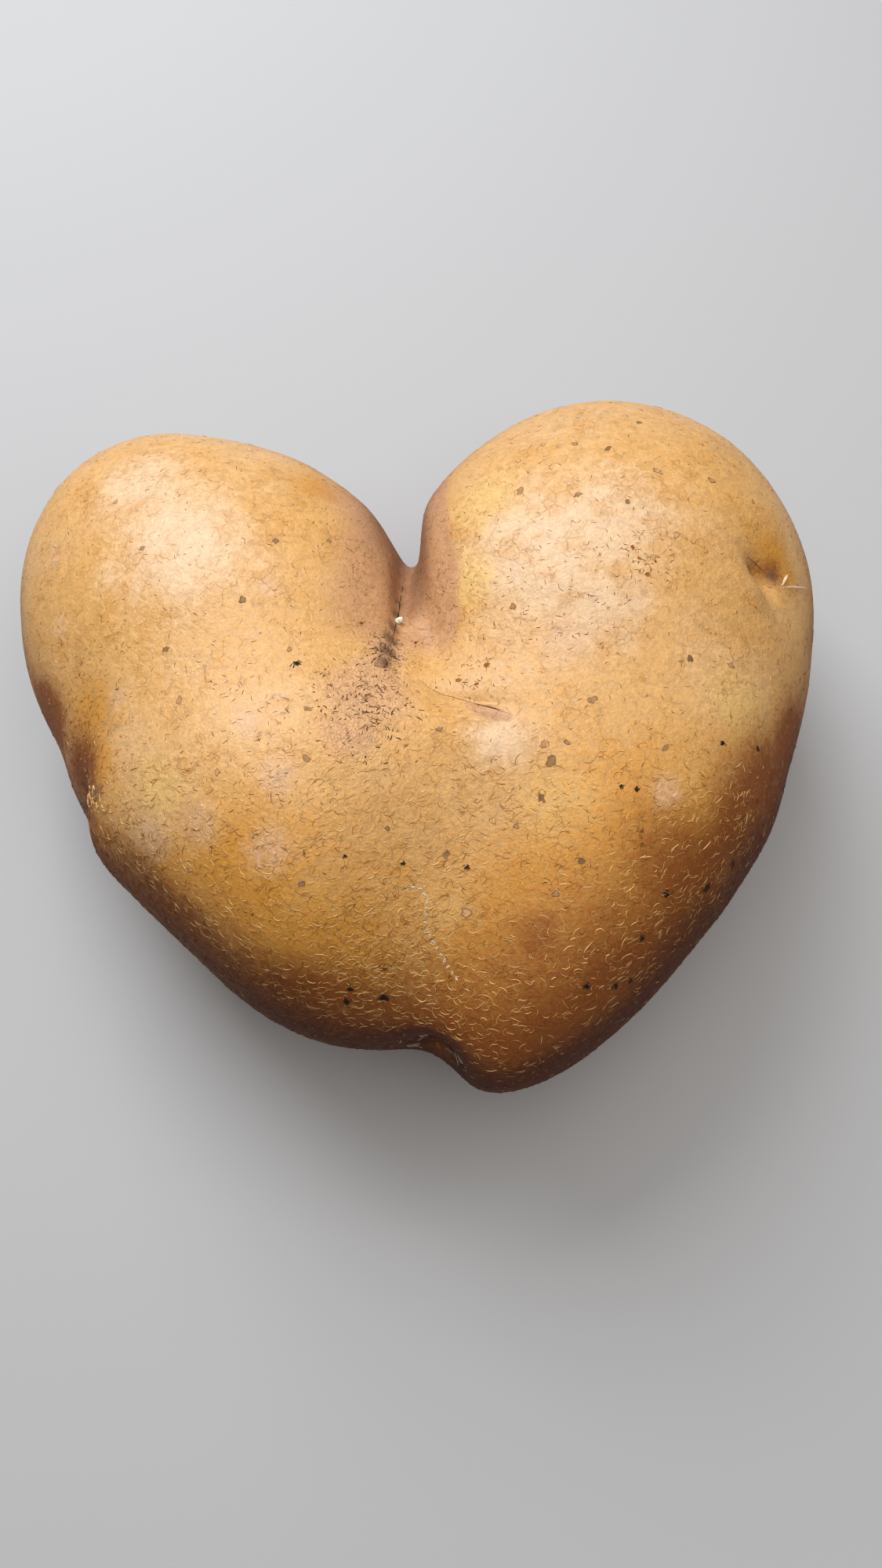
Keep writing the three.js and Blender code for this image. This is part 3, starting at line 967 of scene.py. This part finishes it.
# Papery bits of the stem scar and the pale lips of the two eyes that are seen
stem_middle = seat(STEM_SCAR)["middle"] + SKIN_SHIFT
for _ in range(STEM_BITS):
    start, up = nearest(stem_middle + random.normal(0, STEM_SPREAD, 3))
    path = stray(start, up, STEM_BIT_LENGTH, PAPER_BEND, STEM_BIT_STEPS)
    height = random.uniform(*STEM_BIT_HEIGHT)
    lean = random.uniform(*STEM_BIT_LEAN)
    flakes.sliver(path, STEM_BIT_WIDTH, height, lean, shade(PAPER, 0.35, 0.8))
flakes.sliver(line_on_skin(EYE_LIP_LINE, LINE_SPACING), width=0.5, height=0.12, lean=0, tone=CREAM_AND_HIGHLIGHT)
left_eye_middle, _ = on_skin(LEFT_EYE_MIDDLE)
for _ in range(LIP_BITS):
    start, up = nearest(left_eye_middle + random.normal(0, LIP_SPREAD, 3))
    path = stray(start, up, LIP_BIT_LENGTH, PAPER_BEND)
    flakes.sliver(path, LIP_BIT_WIDTH, random.uniform(*LIP_BIT_HEIGHT), 0, shade(PALE_FLAKE, 0.7, 1.1))


def add(tree, kind, settings, inputs):
    """A shader node with its settings, and its inputs set or linked."""
    made = tree.nodes.new(kind)
    for key, value in settings.items():
        setattr(made, key, value)
    for key, value in inputs.items():
        if isinstance(value, bpy.types.NodeSocket):
            tree.links.new(value, made.inputs[key])
        else:
            made.inputs[key].default_value = value
    return made


def noise_node(tree, coords, wavelength, detail, distortion=0.0):
    """A noise texture with features of about that many millimetres."""
    scale = 1 / (wavelength * MM)
    inputs = {"Vector": coords, "Scale": scale, "Detail": detail, "Roughness": 0.6, "Distortion": distortion}
    return add(tree, "ShaderNodeTexNoise", {}, inputs).outputs[0]


def warp(tree, coords, wavelength, reach):
    """Coordinates pushed about by noise, in millimetres."""
    inputs = {"Vector": coords, "Scale": 1 / (wavelength * MM), "Detail": 2}
    push = add(tree, "ShaderNodeTexNoise", {}, inputs).outputs[1]
    inputs = {0: push, 1: (0.5, 0.5, 0.5)}
    push = add(tree, "ShaderNodeVectorMath", {"operation": "SUBTRACT"}, inputs).outputs[0]
    inputs = {0: push, "Scale": 2 * reach * MM}
    push = add(tree, "ShaderNodeVectorMath", {"operation": "SCALE"}, inputs).outputs[0]
    return add(tree, "ShaderNodeVectorMath", {"operation": "ADD"}, {0: coords, 1: push}).outputs[0]


def cell_edges(tree, coords, size):
    """Distance to the edges of cells of about that many millimetres."""
    inputs = {"Vector": coords, "Scale": 1 / (size * MM)}
    return add(tree, "ShaderNodeTexVoronoi", {"feature": "DISTANCE_TO_EDGE"}, inputs).outputs["Distance"]


def rise(tree, value, low, high, top=1.0, bottom=0.0):
    """A soft step from bottom to top as the value goes from low to high."""
    inputs = {"Value": value, "From Min": low, "From Max": high, "To Min": bottom, "To Max": top}
    return add(tree, "ShaderNodeMapRange", {"interpolation_type": "SMOOTHSTEP"}, inputs).outputs["Result"]


def compute(tree, operation, a, b):
    """One sum of two values."""
    return add(tree, "ShaderNodeMath", {"operation": operation}, {0: a, 1: b}).outputs[0]


def blend(tree, factor, below_colour, above_colour, mode="MIX"):
    """One colour laid over another."""
    made = add(tree, "ShaderNodeMix", {"data_type": "RGBA", "blend_type": mode}, {0: factor})
    for index, colour in ((6, below_colour), (7, above_colour)):
        if isinstance(colour, bpy.types.NodeSocket):
            tree.links.new(colour, made.inputs[index])
        else:
            made.inputs[index].default_value = (*colour, 1)
    return made.outputs[2]


def lighten(tree, colour, strength):
    """A colour made lighter or darker by a value."""
    grey = add(tree, "ShaderNodeCombineColor", {}, {0: strength, 1: strength, 2: strength}).outputs[0]
    return blend(tree, 1.0, colour, grey, "MULTIPLY")


def mask(tree, name):
    """A number stored at the skin's points."""
    return add(tree, "ShaderNodeAttribute", {"attribute_name": name}, {}).outputs["Fac"]


def new_paint(name):
    """A material, its tree, its shader and its object coordinates."""
    paint = bpy.data.materials.new(name)
    paint.use_nodes = True
    tree = paint.node_tree
    coords = tree.nodes.new("ShaderNodeTexCoord").outputs["Object"]
    return paint, tree, tree.nodes["Principled BSDF"], coords


# Layers of the skin's colour: mask, where it starts and is full, strength at its fullest, colour
SKIN_LAYERS = [
    ("yellow", 0.3, 0.95, 0.75, PALE_YELLOW),
    ("gold", 0.2, 1.1, 0.85, GOLD),
    ("rosy", 0.15, 0.85, 0.85, ROSY),
    # russet skin with painted shade on the steep and lower sides
    ("russet_and_shade", 0.15, 1.05, 0.92, RUSSET_AND_SHADE),
    # painted shade on the lower edges
    ("low_edge_shade", 0.1, 1.0, 0.95, LOW_EDGE_SHADE),
    # painted shade in the cleft
    ("cleft_shade", 0.2, 1.0, 0.9, CLEFT_SHADE),
    ("rough", 0.2, 0.8, 0.8, ROUGH_TAN),
]


def skin_paint():
    """Potato skin: tan with golden, rosy and brown zones, pale scurf, fine grain and a net of cracks, with
    painted shade on the brown sides and in the cleft and painted highlights on the lobes' tops.
    """
    paint, tree, shader, coords = new_paint("potato_skin")
    wide = noise_node(tree, coords, 16, 3)
    middle = noise_node(tree, coords, 4, 4, 0.4)
    fine = noise_node(tree, coords, 1.1, 4, 0.6)
    speck = noise_node(tree, coords, 0.8, 3, 0.6)
    grain = noise_node(tree, coords, 0.35, 3)
    loosened = compute(tree, "MULTIPLY", compute(tree, "SUBTRACT", fine, 0.5), 0.9)

    def ragged(name, low, high, top):
        """A mask with ragged edges."""
        return rise(tree, compute(tree, "ADD", mask(tree, name), loosened), low, high, top)

    # Zones of colour
    colour = blend(tree, rise(tree, wide, 0.42, 0.75, 0.4), TAN, CREAM_AND_HIGHLIGHT)
    # Painted highlight in cream on the lobes' tops
    colour = blend(tree, ragged("painted_highlight", 0.2, 1.0, 0.9), colour, CREAM_AND_HIGHLIGHT)
    colour = blend(tree, rise(tree, middle, 0.42, 0.75, 0.5), colour, GOLD)
    for name, low, high, top, tone in SKIN_LAYERS:
        colour = blend(tree, ragged(name, low, high, top), colour, tone)
    specks = rise(tree, speck, 0.35, 0.62, bottom=0.3)
    scurf = compute(tree, "MULTIPLY", ragged("veil", 0.2, 1.0, 0.85), specks)
    colour = blend(tree, scurf, colour, VEIL)

    # Dark gaps between the pebbles of the rough patch
    pebbles = cell_edges(tree, warp(tree, coords, 0.5, 0.3), 0.55)
    edges = rise(tree, pebbles, 0.0, 0.16, top=0.0, bottom=1.0)
    broken = compute(tree, "MULTIPLY", edges, rise(tree, speck, 0.44, 0.56))
    gaps = compute(tree, "MULTIPLY", broken, ragged("rough", 0.2, 0.75, 0.2))
    colour = blend(tree, gaps, colour, DARK_BROWN)

    # Light curled lines where the skin is flaky, and darker patches in the cleft and the two eyes
    curl = compute(tree, "SUBTRACT", noise_node(tree, coords, 1.4, 2, 1.0), 0.5)
    curl = rise(tree, compute(tree, "ABSOLUTE", curl, 0.0), 0.0, 0.022, top=0.0, bottom=1.0)
    curl = compute(tree, "MULTIPLY", curl, rise(tree, speck, 0.46, 0.58))
    curl = compute(tree, "MULTIPLY", curl, mask(tree, "flaky"))
    colour = blend(tree, curl, colour, blend(tree, 1.0, colour, CURL_LIGHT, "MULTIPLY"))
    colour = blend(tree, ragged("hollow_dark", 0.0, 1.0, 0.88), colour, HOLLOW_DARK)

    # Fine net of cracks, dark grain and unevenness
    cells = cell_edges(tree, warp(tree, coords, 0.9, 0.5), 2.2)
    edges = rise(tree, cells, 0.0, 0.05, top=0.0, bottom=1.0)
    net = compute(tree, "MULTIPLY", edges, rise(tree, middle, 0.4, 0.65))
    colour = blend(tree, compute(tree, "MULTIPLY", net, 0.28), colour, DARK_BROWN)
    colour = blend(tree, rise(tree, grain, 0.66, 0.74, 0.4), colour, DARK_BROWN)
    light = rise(tree, fine, 0.25, 0.75, top=1.13, bottom=0.86)
    lighter = rise(tree, grain, 0.3, 0.7, top=1.1, bottom=0.9)
    colour = lighten(tree, colour, compute(tree, "MULTIPLY", light, lighter))
    tree.links.new(colour, shader.inputs["Base Color"])

    # Sheen, less of it on the brown sides
    sheen_loss = compute(tree, "MULTIPLY", mask(tree, "russet_and_shade"), 0.42)
    roughness = compute(tree, "ADD", rise(tree, fine, 0.3, 0.7, top=0.50, bottom=0.33), sheen_loss)
    tree.links.new(roughness, shader.inputs["Roughness"])
    shader.inputs["Specular IOR Level"].default_value = 0.38
    shader.inputs["Subsurface Weight"].default_value = 0.08
    shader.inputs["Subsurface Radius"].default_value = (1.0, 0.45, 0.2)
    shader.inputs["Subsurface Scale"].default_value = 1.2 * MM

    # Relief: height, strength, reach in millimetres, and whether it is sunk
    pebble_height = compute(tree, "MULTIPLY", rise(tree, pebbles, 0.0, 0.3), mask(tree, "rough"))
    relief = [
        (fine, 0.5, 0.35, False),
        (pebble_height, 0.4, 0.4, False),
        (net, 0.4, 0.1, True),
        (grain, 0.45, 0.12, False),
        (curl, 0.6, 0.12, False),
    ]
    inputs = {}
    for height, strength, reach, sunk in relief:
        inputs.update({"Strength": strength, "Distance": reach * MM, "Height": height})
        inputs["Normal"] = add(tree, "ShaderNodeBump", {"invert": sunk}, inputs).outputs[0]
    tree.links.new(inputs["Normal"], shader.inputs["Normal"])
    return paint


def mark_paint(name, roughness, subsurface):
    """The colour stored at a mark's points, made uneven."""
    paint, tree, shader, coords = new_paint(name)
    tone = add(tree, "ShaderNodeAttribute", {"attribute_name": "tone"}, {}).outputs["Color"]
    uneven = rise(tree, noise_node(tree, coords, 0.4, 2), 0.3, 0.7, top=1.15, bottom=0.8)
    tree.links.new(lighten(tree, tone, uneven), shader.inputs["Base Color"])
    shader.inputs["Roughness"].default_value = roughness
    shader.inputs["Specular IOR Level"].default_value = 0.15
    shader.inputs["Subsurface Weight"].default_value = subsurface
    shader.inputs["Subsurface Scale"].default_value = 0.5 * MM
    return paint


skin.data.materials.append(skin_paint())
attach(skin, "root")
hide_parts("potato")
flakes.make("skin_flakes", mark_paint("skin_flake", roughness=0.5, subsurface=0.1))
# Cracks, dark lines and the painted shadows beside flakes
cracks.make("skin_dark_slivers", mark_paint("skin_dark_sliver", roughness=0.85, subsurface=0.0))
spots.make("skin_spots", mark_paint("skin_spot", roughness=0.75, subsurface=0.0))
buds.make("eye_buds", mark_paint("eye_bud", roughness=0.45, subsurface=0.1))

# Plain pale floor, in metres
FLOOR_HALF = 3.0
FLOOR_ROUGHNESS = 0.9
floor_mesh = bpy.data.meshes.new("floor")
floor_corners = [(x * FLOOR_HALF, y * FLOOR_HALF, 0) for x, y in ((-1, -1), (1, -1), (1, 1), (-1, 1))]
floor_mesh.from_pydata(floor_corners, [], [(0, 1, 2, 3)])
floor = bpy.data.objects.new("floor", floor_mesh)
bpy.context.scene.collection.objects.link(floor)
floor_paint = bpy.data.materials.new("floor")
floor_paint.use_nodes = True
floor_shader = floor_paint.node_tree.nodes["Principled BSDF"]
floor_shader.inputs["Base Color"].default_value = (*FLOOR_GREY, 1)
floor_shader.inputs["Roughness"].default_value = FLOOR_ROUGHNESS
floor_mesh.materials.append(floor_paint)

# Camera
camera_data = bpy.data.cameras.new("camera")
camera_data.lens = LENS_MM
camera_data.sensor_width = SENSOR_MM
camera_data.clip_start = CLIP_START
camera = bpy.data.objects.new("camera", camera_data)
camera.location = EYE * MM
camera.rotation_euler = (TILT, 0, 0)
bpy.context.scene.collection.objects.link(camera)
bpy.context.scene.camera = camera

# Soft studio light, in metres and watts
LIT_MIDDLE = Vector((0, 0, 0.025))
SOFTBOX_COLOUR = (1.0, 0.97, 0.93)
WINDOW_COLOUR = (0.94, 0.97, 1.0)
STUDIO_COLOUR = (1.0, 0.96, 0.9)
STUDIO_STRENGTH = 0.05


def area_light(name, direction, distance, size, power, colour):
    """A square light aimed at the potato's middle."""
    data = bpy.data.lights.new(name, "AREA")
    data.size = size
    data.energy = power
    data.color = colour
    light = bpy.data.objects.new(name, data)
    light.location = Vector(direction).normalized() * distance + LIT_MIDDLE
    light.rotation_euler = Vector(direction).to_track_quat("Z", "Y").to_euler()
    bpy.context.scene.collection.objects.link(light)


area_light("softbox", (0.12, -0.02, 1.0), distance=0.55, size=0.7, power=3.2, colour=SOFTBOX_COLOUR)
area_light("window", (-0.32, 0.62, 0.71), distance=0.5, size=0.31, power=2.7, colour=WINDOW_COLOUR)
world = bpy.data.worlds.new("studio")
world.use_nodes = True
background = world.node_tree.nodes["Background"]
background.inputs["Color"].default_value = (*STUDIO_COLOUR, 1)
background.inputs["Strength"].default_value = STUDIO_STRENGTH
bpy.context.scene.world = world
bpy.context.scene.view_settings.view_transform = "Standard"
